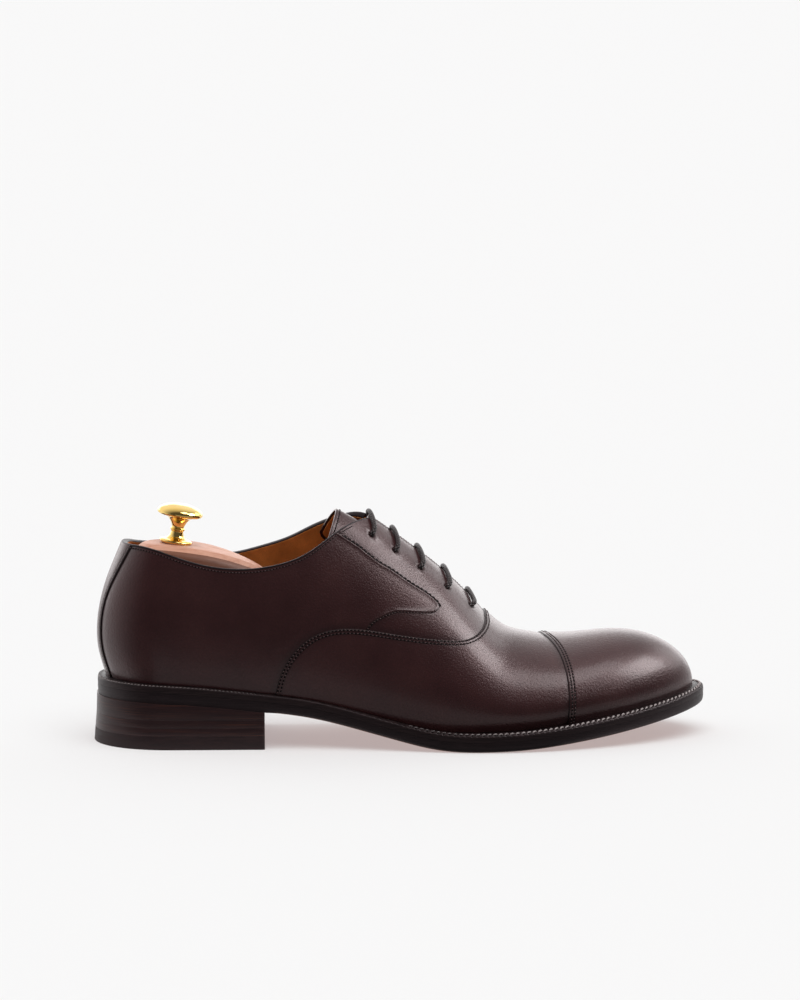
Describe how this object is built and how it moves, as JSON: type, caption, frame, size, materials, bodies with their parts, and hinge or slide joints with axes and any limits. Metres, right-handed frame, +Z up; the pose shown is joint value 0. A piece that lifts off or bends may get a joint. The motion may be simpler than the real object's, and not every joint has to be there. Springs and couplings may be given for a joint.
{
  "type": "leather oxford shoe",
  "caption": "Right-foot cap-toe oxford shoe with a leather upper, closed lacing, welted sole, stacked heel and a cedar shoe tree with a brass knob inside.",
  "frame": {"origin": "centre of the shoe's footprint, on the floor", "axes": "+X along the shoe to the toe, +Y to the inner (medial) side, +Z up"},
  "size_m": [0.3065, 0.107, 0.1179],
  "materials": {
    "upper_leather": "polished dark brown box calf with a soft shine",
    "edge_leather": "black-brown burnished edge",
    "lining_leather": "matt cognac lining calf",
    "sole_leather": "oak-bark tanned sole leather",
    "stack_leather": "stacked heel leather, stained and waxed",
    "rubber": "matt black rubber",
    "board": "leatherboard and stiffener, unfinished",
    "cork": "ground cork and binder",
    "steel": "bright drawn steel",
    "brass": "polished brass",
    "cedar": "sanded red cedar",
    "lace": "waxed round cotton cord"
  },
  "bodies": {
    "shoe": {"toe_cap": "upper_leather", "vamp": "upper_leather", "quarter_lateral": "upper_leather", "quarter_medial": "upper_leather", "back_stay": "upper_leather", "tongue": "upper_leather", "topline_binding": "edge_leather", "welt": "edge_leather", "heel_rand": "edge_leather", "tongue_lining": "lining_leather", "vamp_lining": "lining_leather", "quarter_lining_lateral": "lining_leather", "quarter_lining_medial": "lining_leather", "sock_liner": "lining_leather", "outsole": "sole_leather", "heel_lift_1": "stack_leather", "heel_lift_2": "stack_leather", "heel_lift_3": "stack_leather", "top_piece": "rubber", "toe_puff": "board", "heel_counter": "board", "eyelet_stay_lateral": "board", "eyelet_stay_medial": "board", "insole_board": "board", "insole_rib": "board", "heel_filler": "board", "heel_pad": "board", "cork_filler": "cork", "shank": "steel", "tree_rod": "steel", "tree_guide_pin_1": "steel", "tree_guide_pin_2": "steel", "aglet_lateral": "steel", "aglet_medial": "steel", "heel_nail_1": "steel", "heel_nail_2": "steel", "heel_nail_3": "steel", "heel_nail_4": "steel", "heel_nail_5": "steel", "heel_nail_6": "steel", "tree_toe_medial": "cedar", "lace": "lace"},
    "tree_heel": {"tree_heel_block": "cedar", "tree_knob": "brass", "tree_stem": "brass", "tree_spring": "steel"},
    "tree_toe_half": {"tree_toe_lateral": "cedar"}
  },
  "joints": [
    {"name": "tree_heel_slide", "type": "slide", "parent": "shoe", "child": "tree_heel", "axis": [0.9701, 0, -0.2425], "range_m": [0, 0.012], "stiffness_N_per_m": 900, "springref_m": -0.008},
    {"name": "tree_toe_squeeze", "type": "slide", "parent": "shoe", "child": "tree_toe_half", "axis": [0, 1, 0], "range_m": [0, 0.004], "stiffness_N_per_m": 700, "springref_m": -0.004}
  ]
}
